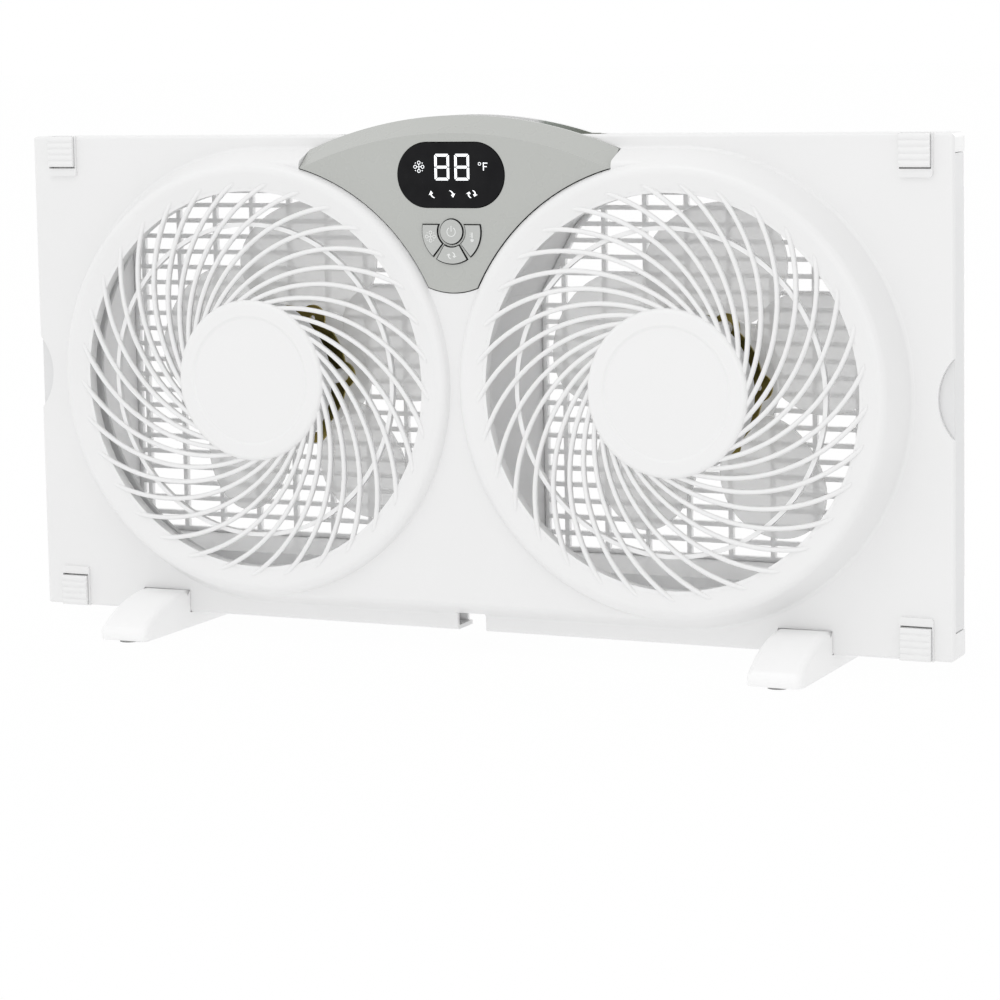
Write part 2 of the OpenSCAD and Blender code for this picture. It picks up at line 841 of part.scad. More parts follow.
module gland_hole(r) {
  translate([0, gland_y, -far]) cylinder(r = r, h = far + duct_low + 1);
}

module rear_housing() color([0.95, 0.95, 0.95]) {
  difference() {
    union() {
      front_view(flange_y, rear_depth) difference() {
        translate([-box_x, duct_low - box_wall]) square([2 * box_x, duct_high - duct_low + 2 * box_wall]);
        duct(0);
        mirror([1, 0]) duct(0);
      }
      front_view(flange_y, frame_t) difference() {
        translate([-stile_x + gap, wall + gap]) square([2 * (stile_x - gap), body_h - 2 * (wall + gap)]);
        duct(0);
        mirror([1, 0]) duct(0);
      }
      // Walls of the core, which reach forward to the back of the frame's face
      front_view(wall + gap, flange_y + bite) core(0);
      // Rails that carry the extenders' panels
      on_both_sides() {
        box([web_x, rail_y, block_low - rail_h], [stile_x - gap, flange_y + bite, block_low]);
        box([web_x, rail_y, body_h - block_high],
            [stile_x - gap, flange_y + bite, body_h - block_high + rail_h]);
      }
    }
    front_view(0, rear_depth - wall) core(box_wall);
    box([-notch_w / 2 - notch_step, 0, -far], [notch_w / 2 + notch_step, far, notch_h + notch_step]);
    for (x = screw_xs, z = [screw_low_z, screw_top_z])
      translate([x, far / 2, z]) rotate([90, 0, 0]) cylinder(r = pilot_r + gap, h = far);
    gland_hole(gland_r + gap);
  }
  // Posts for the power board
  for (x = [-1, 1] * power_post_x) translate([x, rear_depth - wall + bite, power_board_z])
    rotate([90, 0, 0]) cylinder(r = post_r, h = power_post_h + bite);
}

module rear_grille() color([0.93, 0.93, 0.93]) {
  low = duct_low + gap;
  high = duct_high - gap;
  rows = floor((high - low - bar_w) / row_pitch);
  columns_out = floor((duct_x - gap - fan_x) / column_pitch);
  columns_in = floor((fan_x - core_x - gap) / column_pitch);
  front_view(rear_depth - grille_t, rear_depth) {
    // Rim that follows the duct
    difference() {
      duct(-gap);
      duct(-gap - bar_w);
    }
    intersection() {
      duct(-gap);
      union() {
        for (k = [1 : rows]) translate([0, low + k * row_pitch]) square([far, bar_w]);
        for (k = [-columns_in : columns_out]) translate([fan_x + k * column_pitch - bar_w / 2, 0])
          square([bar_w, far]);
      }
    }
  }
}

module rear_grille_right() rear_grille();
module rear_grille_left() mirror([1, 0, 0]) rear_grille();

module carry_handle() color("white") {
  y0 = wall + gap;
  y1 = flange_y - gap;
  low = body_h - tray_depth;
  difference() {
    union() {
      box([-tray_half_w, y0, low], [tray_half_w, y1, body_h]);
      intersection() {
        translate([0, frame_t - gap, arch_z]) rotate([90, 0, 0])
          cylinder(r = arch_r - 0.4, h = frame_t - gap - y1 + 2, $fn = 360);
        box([-far, -far, body_h + gap], [far, far, far]);
      }
      box([-tray_half_w + 8, y1 - 2, body_h - bite], [tray_half_w - 8, y1, body_h + bite]);
    }
    box([-tray_half_w + 2, y0 + 2, low + 2], [tray_half_w - 2, y1 - 2, far]);
    difference() {
      box([-far, -far, body_h - 1], [far, far, far]);
      translate([0, far / 2, arch_z]) rotate([90, 0, 0]) cylinder(r = arch_r - 0.4, h = far, $fn = 360);
      box([-far, -far, 0], [far, far, body_h + bite / 2]);
    }
  }
}

module power_board() color([0.75, 0.6, 0.3]) {
  face = power_board_y - board_t;
  front_view(face, power_board_y) translate([-power_board_w / 2, power_board_z - power_board_h / 2])
    square([power_board_w, power_board_h]);
  // Transformer and capacitor
  box([-power_post_x - capacitor_r, face - coil_depth, power_board_z - coil_h / 2],
      [-capacitor_r, face + bite, power_board_z + coil_h / 2]);
  translate([2 * capacitor_r, face + bite, power_board_z]) rotate([90, 0, 0])
    cylinder(r = capacitor_r, h = coil_h);
}

module cord_gland() color([0.25, 0.25, 0.25]) {
  translate([0, gland_y, duct_low - box_wall - gland_flange_t]) difference() {
    union() {
      cylinder(r = gland_flange_r, h = gland_flange_t - gap / 2);
      cylinder(r = gland_r, h = 10);
    }
    translate([0, 0, -1]) cylinder(r = gland_bore_r, h = 12);
  }
}

module housing_screws() color("silver") {
  for (x = screw_xs, z = [screw_low_z, screw_top_z]) translate([x, frame_t, z]) rotate([90, 0, 0]) {
    cylinder(r = screw_r, h = screw_len);
    translate([0, 0, -screw_head_t]) cylinder(r = screw_head_r, h = screw_head_t);
  }
}

// ---------------------------------------------------------------- extenders and locks

module extender() {
  difference() {
    box([stile_x, wall + gap, stile_z0], [side_x - gap, frame_t - gap, stile_z1]);
    box([0, 2 * wall + gap, stile_z0 + wall], [side_x - gap - wall, frame_t - gap - wall, stile_z1 - wall]);
  }
  difference() {
    box([web_x, web_y, stile_z0], [side_x - gap - wall + bite, web_y + web_t, stile_z1]);
    disc(1, web_cut_r, 0, frame_t);
  }
}

module extender_right() color([0.93, 0.93, 0.93]) extender();
module extender_left() color([0.93, 0.93, 0.93]) mirror([1, 0, 0]) extender();

// Ribbed slide lock at the lower right corner
module lock() {
  pitch = lock_len / lock_ribs;
  side_view(lock_x - lock_w / 2, lock_x + lock_w / 2) {
    translate([lock_wave - lock_front, lock_end])
      square([lock_front - lock_wave + lock_back + bite, lock_len]);
    intersection() {
      for (k = [0 : lock_ribs - 1]) translate([lock_rib_r - lock_front, lock_end + (k + 0.5) * pitch])
        circle(r = lock_rib_r);
      translate([-lock_front - 1, lock_end]) square([lock_front, lock_len]);
    }
  }
  box([lock_x - lock_w / 2 - lock_tongue_side, lock_back, wall + lock_travel + gap],
      [lock_x + lock_w / 2, lock_back + lock_tongue_t, lock_len + lock_tongue]);
}

module lower_right() { color("white") lock(); }
module lock_lower_right() lower_right();
module lock_lower_left() mirror([1, 0, 0]) lower_right();
module lock_upper_right() translate([0, 0, body_h]) mirror([0, 0, 1]) lower_right();
module lock_upper_left() translate([0, 0, body_h]) mirror([0, 0, 1]) mirror([1, 0, 0]) lower_right();

// ---------------------------------------------------------------- motors and fans

module motor(side) color([0.25, 0.25, 0.27]) {
  difference() {
    union() {
      disc(side, motor_r - 6, -motor_front, -10);
      disc(side, motor_r, -12, 14);
      disc(side, motor_r - 4, 12, post_end);
      disc(side, bearing_boss_r, post_end - bite, bearing_boss_end);
    }
    disc(side, rotor_r + 0.6, rotor_y0 - gap, rotor_y1 + gap);
    disc(side, shaft_r + bearing_gap, shaft_y0 - gap, far);
  }
}

module motor_left() motor(-1);
module motor_right() motor(1);

// Gold coloured plate with six lobes on the back of the motor
module motor_bracket(side) color([0.78, 0.66, 0.3]) {
  on_axis(side) translate([0, 0, -post_end - bracket_t]) linear_extrude(height = bracket_t) difference() {
    union() {
      circle(r = motor_post_ring + 2.5);
      for (a = [0 : 60 : 300]) rotate(a) translate([motor_post_ring, 0]) circle(r = lobe_r);
    }
    circle(r = bearing_boss_r + gap);
    for (a = [0 : 60 : 300]) rotate(a) translate([motor_post_ring, 0]) circle(r = pilot_r + gap);
    for (a = [30 : 60 : 330]) rotate(a) translate([24, 0]) circle(r = 5);
  }
}

module motor_bracket_left() motor_bracket(-1);
module motor_bracket_right() motor_bracket(1);

module motor_screws() color("silver") {
  for (side = [-1, 1], a = [0 : 120 : 240]) {
    turn = side < 0 ? a : 180 - a;
    on_axis(side) rotate([0, 0, turn]) translate([motor_post_ring, 0, -post_end - bracket_t]) {
      cylinder(r = screw_r, h = screw_len);
      translate([0, 0, -big_head_t]) cylinder(r = big_head_r, h = big_head_t);
    }
  }
}

module shaft(side) color("silver") disc(side, shaft_r, shaft_y0, shaft_end);
module shaft_left() shaft(-1);
module shaft_right() shaft(1);

module rotor(side) color([0.5, 0.5, 0.52]) difference() {
  disc(side, rotor_r, rotor_y0, rotor_y1);
  disc(side, shaft_r + press_gap, -far, far);
}

module rotor_left() rotor(-1);
module rotor_right() rotor(1);

// One blade: a cambered sheet, pitched to the axis and cut to a swept round outline
module blade() {
  half_chord = blade_half_w / cos(blade_pitch);
  to_centre = sqrt(pow(blade_camber_r, 2) - pow(half_chord, 2));
  centre_x = blade_lean + to_centre * sin(blade_pitch);
  centre_y = blade_mid_y - to_centre * cos(blade_pitch);
  intersection() {
    translate([centre_x, centre_y, fan_hub_r - 12]) difference() {
      cylinder(r = blade_camber_r + blade_t / 2, h = fan_tip_r, $fn = 180);
      translate([0, 0, -1]) cylinder(r = blade_camber_r - blade_t / 2, h = fan_tip_r + 2, $fn = 180);
    }
    front_view(fan_y0, fan_y1 + 3) difference() {
      intersection() {
        translate([blade_lean, blade_mid_r]) circle(r = blade_half_w);
        circle(r = fan_tip_r, $fn = 180);
      }
      circle(r = fan_hub_r - fan_wall / 2);
    }
  }
}

module impeller(side) color([0.97, 0.97, 0.97]) {
  difference() {
    union() {
      difference() {
        disc(side, fan_hub_r, fan_y0, fan_y1);
        disc(side, fan_hub_r - fan_wall, fan_y0 - 1, fan_y1 - wall);
      }
      disc(side, fan_boss_r, fan_y0 + 1, fan_y1);
      translate([side * fan_x, 0, fan_z]) for (k = [0 : blade_count - 1])
        rotate([0, k * 360 / blade_count, 0]) blade();
    }
    disc(side, shaft_r + press_gap, 0, far);
  }
}

module fan_left() impeller(-1);
module fan_right() impeller(1);

module fan_nut(side) color([0.9, 0.9, 0.9]) difference() {
  on_axis(side) translate([0, 0, -fan_y1 - nut_len]) {
    translate([0, 0, nut_step]) cylinder(r = nut_flat_r, h = nut_len - nut_step, $fn = 6);
    cylinder(r = nut_r, h = nut_len);
  }
  disc(side, shaft_r + press_gap, 0, far);
}

module fan_nut_left() fan_nut(-1);
module fan_nut_right() fan_nut(1);

// ---------------------------------------------------------------- feet

// Front half of a foot's side outline: a wide arc from the clip's top that runs into a round nose
module toe() {
  arc = [-toe_x, foot_clip_h - toe_r];
  touch = arc + toe_r * (nose - arc) / (toe_r - nose_r);
  intersection() {
    translate(arc) circle(r = toe_r);
    translate([touch[0], foot_low]) square([-gap - touch[0], far]);
  }
  intersection() {
    translate(nose) circle(r = nose_r);
    translate([-far, foot_low]) square([far + touch[0] + 1, far]);
  }
}

module foot(side) color("white") difference() {
  side_view(side * foot_x - foot_w / 2, side * foot_x + foot_w / 2) {
    toe();
    translate([frame_t, 0]) mirror([1, 0]) toe();
    translate([-gap - 1, foot_low]) square([frame_t + 2 * gap + 2, -foot_low - gap]);
  }
  // Seats of the rubber pads
  for (y = [pad_in - foot_reach, heel_y - pad_in]) translate([side * foot_x, y, foot_low - 1])
    cylinder(r = pad_r + gap, h = 1 + pad_sink);
}

module foot_left() foot(-1);
module foot_right() foot(1);

module foot_pads() color([0.5, 0.5, 0.5]) {
  for (x = [-foot_x, foot_x], y = [pad_in - foot_reach, heel_y - pad_in]) translate([x, y, foot_low - pad_t])
    cylinder(r = pad_r, h = pad_t + pad_sink);
}

place() front_housing();
place() grille_left();
place() grille_right();
place() control_panel();
place() display_lens();
place() led_display();
place() control_board();
place() tact_switches();
place() board_screws();
place() power_button();
place() fan_button();
place() airflow_button();
place() temperature_button();
place() rear_housing();
place() rear_grille_left();
place() rear_grille_right();
place() carry_handle();
place() power_board();
place() cord_gland();
place() housing_screws();
place() extender_left();
place() extender_right();
place() lock_upper_left();
place() lock_upper_right();
place() lock_lower_left();
place() lock_lower_right();
place() motor_left();
place() motor_right();
place() motor_bracket_left();
place() motor_bracket_right();
place() motor_screws();
place() shaft_left();
place() shaft_right();
place() rotor_left();
place() rotor_right();
place() fan_left();
place() fan_right();
place() fan_nut_left();
place() fan_nut_right();
place() foot_left();
place() foot_right();
place() foot_pads();
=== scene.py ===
# %% [markdown]
# # A twin window fan, dressed in Blender
# The solids of the fan come packed from CAD as a fixed frame. This notebook gives them their
# looks: soft moulded edges, finishes made from shader nodes, a stage, lamps and the camera of
# the picture. The solids themselves are never changed, because the motion is worked out on them.
# %% Load the frame
import bmesh
import bpy
import json
import math
from mathutils import Matrix, Vector


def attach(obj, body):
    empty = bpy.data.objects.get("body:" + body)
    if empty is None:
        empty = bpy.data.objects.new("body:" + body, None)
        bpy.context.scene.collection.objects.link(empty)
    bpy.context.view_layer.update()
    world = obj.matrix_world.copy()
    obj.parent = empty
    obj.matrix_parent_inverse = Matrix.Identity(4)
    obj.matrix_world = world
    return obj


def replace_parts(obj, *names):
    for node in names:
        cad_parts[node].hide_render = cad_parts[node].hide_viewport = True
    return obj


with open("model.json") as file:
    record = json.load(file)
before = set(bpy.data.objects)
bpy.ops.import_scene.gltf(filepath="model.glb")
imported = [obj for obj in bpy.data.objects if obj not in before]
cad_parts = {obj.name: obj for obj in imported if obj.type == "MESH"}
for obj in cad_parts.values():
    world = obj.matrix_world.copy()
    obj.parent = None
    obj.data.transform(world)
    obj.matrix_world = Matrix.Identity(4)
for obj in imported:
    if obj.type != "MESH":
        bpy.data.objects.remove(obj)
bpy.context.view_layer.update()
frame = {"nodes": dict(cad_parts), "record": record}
scene = bpy.context.scene
MM = 0.001

# %% [markdown]
# ## Places shared by several pieces
# The CAD part is drawn from the front face and the lower edge of the flat frame. A helper turns
# such millimetres into the scene's metres. Metres could be typed directly, but this way every
# number below can be checked on a drawing.
# %% Shared places
MIDDLE_Y, FLOOR_Z = 15, 11
FAN_X, FAN_Z = 136, 150
LENS_Z, BUTTON_Z = 275, 241.7
PANEL_FRONT, LENS_FRONT, BUTTON_FRONT = -17.5, -17.9, -18.4
SECTOR_R = 14.15
SIDE_X, TOP_Z, FRAME_BACK = 300, 298, 21
FOOT_X, FOOT_HALF = 211.5, 16.5
MID_HEIGHT = 0.16


def at(x, y, z):
    """A point given in mm from the frame's middle, front face and lower edge."""
    return Vector((x, y - MIDDLE_Y, z + FLOOR_Z)) * MM


print("fan axes at", at(-FAN_X, 0, FAN_Z), at(FAN_X, 0, FAN_Z))

# %% [markdown]
# ## Camera
# The picture was taken with a long lens, from a little above the fan and from its right. It could
# be aimed with a Track To constraint, but its slight roll would be lost, so its three axes are
# worked out from yaw, pitch and roll. The lens is shifted a little, as a view camera's is.
# %% Camera
YAW, PITCH, ROLL = 0.43033, 0.11308, -0.01787
CAMERA_PLACE = (796.67, -1689.25, 351.67)
SENSOR_WIDTH, WIDTHS_AWAY, SHIFT_Y = 36, 3.14542, -0.1

forward = Vector((-math.sin(YAW) * math.cos(PITCH), math.cos(YAW) * math.cos(PITCH),
                  -math.sin(PITCH)))
level = Vector((math.cos(YAW), math.sin(YAW), 0))
upward = level.cross(forward)
side = level * math.cos(ROLL) + upward * math.sin(ROLL)
top = upward * math.cos(ROLL) - level * math.sin(ROLL)
camera = bpy.data.objects.new("camera", bpy.data.cameras.new("camera"))
camera.matrix_world = Matrix((side, top, -forward)).transposed().to_4x4()
camera.location = at(*CAMERA_PLACE)
camera.data.sensor_width = SENSOR_WIDTH
camera.data.lens = WIDTHS_AWAY * SENSOR_WIDTH
camera.data.shift_y = SHIFT_Y
scene.collection.objects.link(camera)
scene.camera = camera
print("lens", round(camera.data.lens, 1), "mm")

# %% [markdown]
# ## Finishes
# Almost everything on this fan is moulded plastic. A moulding is never one flat colour: its tone
# drifts a little over the part, its gloss varies with the flow of the melt, and the mould's fine
# spark-eroded grain breaks up every highlight. Painted images could show that, but they need
# unwrapped meshes. Noise nodes work on any solid, so small helpers make and join them.
# %% Shader helpers
finishes = {}
NOISE_LOW, NOISE_HIGH = 0.3, 0.7


def new_finish(name):
    """A node material, and its nodes, links, shader and a place measured from the middle."""
    mat = bpy.data.materials.new(name)
    mat.use_nodes = True
    finishes[name] = mat
    nodes, links = mat.node_tree.nodes, mat.node_tree.links
    coords = nodes.new("ShaderNodeTexCoord")
    centre = nodes.new("ShaderNodeMapping")
    centre.inputs["Location"].default_value = (0, 0, -MID_HEIGHT)
    links.new(coords.outputs["Object"], centre.inputs["Vector"])
    return nodes, links, nodes["Principled BSDF"], centre.outputs["Vector"]


def speckle(nodes, links, place, scale, detail=3):
    noise = nodes.new("ShaderNodeTexNoise")
    noise.inputs["Scale"].default_value = scale
    noise.inputs["Detail"].default_value = detail
    noise.inputs["Roughness"].default_value = 0.5
    links.new(place, noise.inputs["Vector"])
    return noise.outputs["Fac"]


def spread(nodes, links, value, low, high, low_at=NOISE_LOW, high_at=NOISE_HIGH):
    """Carries a value over from the range low_at to high_at to the range low to high."""
    band = nodes.new("ShaderNodeMapRange")
    band.inputs["From Min"].default_value = low_at
    band.inputs["From Max"].default_value = high_at
    band.inputs["To Min"].default_value = low
    band.inputs["To Max"].default_value = high
    links.new(value, band.inputs["Value"])
    return band.outputs["Result"]


def tint(nodes, links, value, dark, light):
    """Turns a value into a colour between dark and light."""
    ramp = nodes.new("ShaderNodeValToRGB")
    ramp.color_ramp.elements[0].position = NOISE_LOW
    ramp.color_ramp.elements[1].position = NOISE_HIGH
    ramp.color_ramp.elements[0].color = (*dark, 1)
    ramp.color_ramp.elements[1].color = (*light, 1)
    links.new(value, ramp.inputs["Fac"])
    return ramp.outputs["Color"]


def relief(nodes, links, shader, height, strength, depth):
    bump = nodes.new("ShaderNodeBump")
    bump.inputs["Strength"].default_value = strength
    bump.inputs["Distance"].default_value = depth
    links.new(height, bump.inputs["Height"])
    links.new(bump.outputs["Normal"], shader.inputs["Normal"])


print("finishes so far:", len(finishes))

# %% [markdown]
# The housings, grilles, locks and feet are white mouldings that differ in tone and gloss, and the
# panel, buttons, pads and boards differ in colour and grain. Each could have its own nodes, but
# then a change has to be made many times, so one function makes them all. The white of the rear
# housing is milky: light sinks in a little, as in thin, unpigmented walls.
# %% Moulded plastics
FLOW_SCALE, PATCH_SCALE, GLOSS_DRIFT = 14, 60, 0.05
GRAIN_STRENGTH, MILK_REACH = 0.35, 0.004


def moulded(name, colour, drift=0.015, rough=0.4, grain=1500, grain_depth=0.00002,
            alpha=1, milky=0):
    nodes, links, shader, place = new_finish(name)
    dark = tuple(max(c - drift, 0) for c in colour)
    flow = speckle(nodes, links, place, FLOW_SCALE, 4)
    links.new(tint(nodes, links, flow, dark, colour), shader.inputs["Base Color"])
    patches = speckle(nodes, links, place, PATCH_SCALE)
    gloss = spread(nodes, links, patches, rough - GLOSS_DRIFT, rough + GLOSS_DRIFT)
    links.new(gloss, shader.inputs["Roughness"])
    shader.inputs["Alpha"].default_value = alpha
    shader.inputs["Subsurface Weight"].default_value = milky
    shader.inputs["Subsurface Radius"].default_value = (1, 1, 1)
    shader.inputs["Subsurface Scale"].default_value = MILK_REACH
    fine = speckle(nodes, links, place, grain, 2)
    relief(nodes, links, shader, fine, GRAIN_STRENGTH, grain_depth)


moulded("white_shell", (0.84, 0.84, 0.84), rough=0.36)
moulded("white_grille", (0.85, 0.85, 0.85), drift=0.006, rough=0.34)
moulded("white_rear", (0.91, 0.91, 0.912), drift=0.01, rough=0.45, milky=0.7)
moulded("white_extender", (0.76, 0.762, 0.765), rough=0.42)
moulded("white_lock", (0.84, 0.84, 0.84), rough=0.36)
moulded("white_foot", (0.93, 0.93, 0.93), rough=0.34)
moulded("grey_panel", (0.475, 0.485, 0.465), drift=0.012, rough=0.28, grain=2200)
moulded("grey_button", (0.5, 0.51, 0.495), drift=0.012, rough=0.42, grain=2200)
moulded("black_plastic", (0.02, 0.02, 0.021), drift=0.006, rough=0.45)
moulded("grey_rubber", (0.3, 0.3, 0.3), drift=0.05, rough=0.75, grain=900, grain_depth=0.00006)
moulded("tan_board", (0.42, 0.27, 0.1), drift=0.06, rough=0.55)
moulded("pale_print", (0.8, 0.81, 0.8), rough=0.5)
print(len(finishes), "moulded finishes")

# %% [markdown]
# The front of the handle's arch gets painted shade: dark olive where the hand goes in, fading to
# white towards the middle. The arch could be cut into pieces of one colour each, but the shade
# has no steps, so the colour follows the place along X through a colour ramp.
# %% Handle's arch
FADE_START, FADE_END = 0.04, 0.095

nodes, links, shader, place = new_finish("arch_painted_shade")
along = nodes.new("ShaderNodeSeparateXYZ")
links.new(place, along.inputs["Vector"])
fade = nodes.new("ShaderNodeValToRGB")
fade.color_ramp.elements[0].color = (0.84, 0.84, 0.84, 1)
fade.color_ramp.elements[1].color = (0.09, 0.09, 0.055, 1)
fade.color_ramp.elements.new(0.12).color = (0.34, 0.37, 0.34, 1)
share = spread(nodes, links, along.outputs["X"], 0, 1, FADE_START, FADE_END)
links.new(share, fade.inputs["Fac"])
links.new(fade.outputs["Color"], shader.inputs["Base Color"])
gloss = spread(nodes, links, speckle(nodes, links, place, PATCH_SCALE), 0.4, 0.5)
links.new(gloss, shader.inputs["Roughness"])
print("colours along the arch:", len(fade.color_ramp.elements))

# %% [markdown]
# The blades are thin unpigmented plastic: daylight from behind glows through them, and the
# lattice shows as if through a veil. Glass would be too clear and plain white too dull. So the
# moulded finish is made partly see-through, and a translucent shader carries light forward.
# %% Milky blades
BLADE_WHITE, GLOW_SHARE = (0.93, 0.93, 0.93), 0.3

moulded("white_fan", BLADE_WHITE, drift=0.01, alpha=0.35)
nodes, links = finishes["white_fan"].node_tree.nodes, finishes["white_fan"].node_tree.links
milk = nodes.new("ShaderNodeBsdfTranslucent")
milk.inputs["Color"].default_value = (*BLADE_WHITE, 1)
veil = nodes.new("ShaderNodeMixShader")
veil.inputs["Fac"].default_value = GLOW_SHARE
links.new(nodes["Principled BSDF"].outputs["BSDF"], veil.inputs[1])
links.new(milk.outputs["BSDF"], veil.inputs[2])
links.new(veil.outputs["Shader"], nodes["Material Output"].inputs["Surface"])
print("nodes in the blades' finish:", len(nodes))

# %% [markdown]
# ## Display
# The display sits behind a black polished window and its figures glow through it. The window
# could be dark glass over lit figures, but the glass would mirror the white studio and turn
# grey. A black gloss with a low specular level stays black, and the figures lie on top of it.
# %% Window and figures
nodes, links, shader, place = new_finish("black_lens")
haze = speckle(nodes, links, place, 90)
black = tint(nodes, links, haze, (0.006, 0.006, 0.007), (0.01, 0.01, 0.011))
links.new(black, shader.inputs["Base Color"])
links.new(spread(nodes, links, haze, 0.22, 0.3), shader.inputs["Roughness"])
shader.inputs["Specular IOR Level"].default_value = 0.12

nodes, links, shader, place = new_finish("led_white")
glow = speckle(nodes, links, place, 400, 2)
white = tint(nodes, links, glow, (0.86, 0.88, 0.9), (0.95, 0.96, 0.97))
links.new(white, shader.inputs["Base Color"])
shader.inputs["Roughness"].default_value = 0.5
shader.inputs["Emission Color"].default_value = (0.95, 0.98, 1, 1)
shader.inputs["Emission Strength"].default_value = 0.6
print("window and figures:", "black_lens" in finishes and "led_white" in finishes)

# %% [markdown]
# ## Metals
# The bracket behind each motor is zinc plated steel with a yellow passivation, whose hue drifts
# between brass and olive. Shafts and motors show fine turning lines. Those could be modelled as
# grooves, but they are finer than a pixel, so a noise is stretched along the axis instead.
# %% Metals
METAL_SCALE, BROAD_SCALE, METAL_GLOSS_DRIFT = 300, 45, 0.07


def metal(name, dark, light, rough, stretch=(1, 1, 1), metallic=1.0):
    nodes, links, shader, place = new_finish(name)
    pull = nodes.new("ShaderNodeMapping")
    pull.inputs["Scale"].default_value = stretch
    links.new(place, pull.inputs["Vector"])
    fine = speckle(nodes, links, pull.outputs["Vector"], METAL_SCALE, 4)
    broad = speckle(nodes, links, place, BROAD_SCALE)
    links.new(tint(nodes, links, broad, dark, light), shader.inputs["Base Color"])
    gloss = spread(nodes, links, fine, rough - METAL_GLOSS_DRIFT, rough + METAL_GLOSS_DRIFT)
    links.new(gloss, shader.inputs["Roughness"])
    shader.inputs["Metallic"].default_value = metallic
    relief(nodes, links, shader, fine, strength=0.25, depth=0.00002)


metal("zinc_screw", (0.5, 0.51, 0.52), (0.62, 0.63, 0.64), 0.32)
metal("steel_shaft", (0.5, 0.5, 0.51), (0.6, 0.6, 0.61), 0.25, stretch=(1, 30, 1))
metal("gold_bracket", (0.22, 0.19, 0.05), (0.42, 0.33, 0.1), 0.42)
metal("dark_motor", (0.035, 0.035, 0.038), (0.06, 0.06, 0.064), 0.4, stretch=(1, 60, 1),
      metallic=0.3)
print(len(finishes), "finishes")

# %% [markdown]
# ## Circuit board
# A circuit board is green lacquer over copper tracks, which show as paler lines. They could be
# drawn one by one, but the board is hidden unless the panel is taken off. So a brick texture,
# turned to lie in the board's plane, gives a rhythm of lines.
# %% Circuit board
nodes, links, shader, place = new_finish("green_board")
tracks = nodes.new("ShaderNodeTexBrick")
tracks.inputs["Scale"].default_value = 160
tracks.inputs["Mortar Size"].default_value = 0.03
tracks.inputs["Color1"].default_value = (0.02, 0.13, 0.05, 1)
tracks.inputs["Color2"].default_value = (0.02, 0.15, 0.06, 1)
tracks.inputs["Mortar"].default_value = (0.04, 0.24, 0.1, 1)
face = nodes.new("ShaderNodeMapping")
face.inputs["Rotation"].default_value = (math.radians(90), 0, 0)
links.new(place, face.inputs["Vector"])
links.new(face.outputs["Vector"], tracks.inputs["Vector"])
links.new(tracks.outputs["Color"], shader.inputs["Base Color"])
shader.inputs["Roughness"].default_value = 0.35
print(len(finishes), "finishes in all")

# %% [markdown]
# ## Finishes on the CAD solids
# A CAD node keeps its mesh. Only its material slot is filled with the finish of the same name.
# The pairs could be typed out, but the record already holds them, so they are read from there.
# %% Dress the CAD nodes
slot_of = {s["node"]: s["material_slot"] for s in frame["record"]["subparts"]}
bodies = frame["record"]["behaviour"]["bodies"]
body_of = {node: body for body, group in bodies.items() for node in group}


def dress(obj, finish):
    obj.data.materials.clear()
    obj.data.materials.append(finishes[finish])


for node, obj in frame["nodes"].items():
    dress(obj, slot_of[node])
print("dressed", len(frame["nodes"]), "nodes")

# %% [markdown]
# ## Soft edges
# No moulding has a knife edge: the mould's corners are rounded, and light catches on them. A
# bevel modifier on the CAD node would change what MuJoCo keeps. So a copy of the solid is
# merged, its flat faces are made whole again, its sharp edges are bevelled, and the copy then
# stands for the node. Every drawn piece of this notebook is made by the first helper.
# %% Helper for a new piece
def add_piece(name, bm, body, finish, sharp=35):
    """Object made from a bmesh, smooth apart from its sharp edges, that rides on a body."""
    mesh = bpy.data.meshes.new(name)
    bm.to_mesh(mesh)
    bm.free()
    mesh.shade_smooth()
    mesh.set_sharp_from_angle(angle=math.radians(sharp))
    piece = bpy.data.objects.new(name, mesh)
    scene.collection.objects.link(piece)
    dress(piece, finish)
    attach(piece, body)
    return piece


print("material slots of the record:", len(set(slot_of.values())))

# %% [markdown]
# The seam round the panel and the buttons is a dark shadow gap, too narrow for light to fall
# into. It could be left to the renderer, but at this size it washes out to grey. So the walls
# inside the seam and the roundings beside them get a second, black finish as painted shade, which
# is picked by the way each face looks.
# %% Tests for faces with a second finish
PANEL_RIM_Z, SEAM_DEPTH = 265, 0.3
WALL_LEAN, FRONT_LEAN, UP_LEAN = 0.2, 0.97, 0.5
ARCH_LEAN = -0.9


def seam_painted_shade(face, front):
    """Painted shade: walls square to the front and the roundings beside them, not the panel's
    upper rim.
    """
    rim = face.normal.z > UP_LEAN and face.center.z / MM - FLOOR_Z > PANEL_RIM_Z
    lean = abs(face.normal.y)
    near = face.center.y - front < SEAM_DEPTH * MM
    return not rim and (lean < WALL_LEAN or lean < FRONT_LEAN and near)


def arch_shade_face(face, front):
    """Front of the carry handle's arch, above the frame's upper edge, which gets painted shade.
    """
    return face.normal.y < ARCH_LEAN and face.center.z / MM - FLOOR_Z > TOP_Z


print("faces between leans", WALL_LEAN, "and", FRONT_LEAN, "count as the seam's rounding")

# %% [markdown]
# The bevel could clamp itself where edges lie close together, and mostly does. On outlines made
# of very short facets that would cut it to nothing, so such pieces go without the clamp.
# %% Helper for a softened copy
MERGE_DISTANCE, FLAT_ANGLE = 0.000002, 0.3


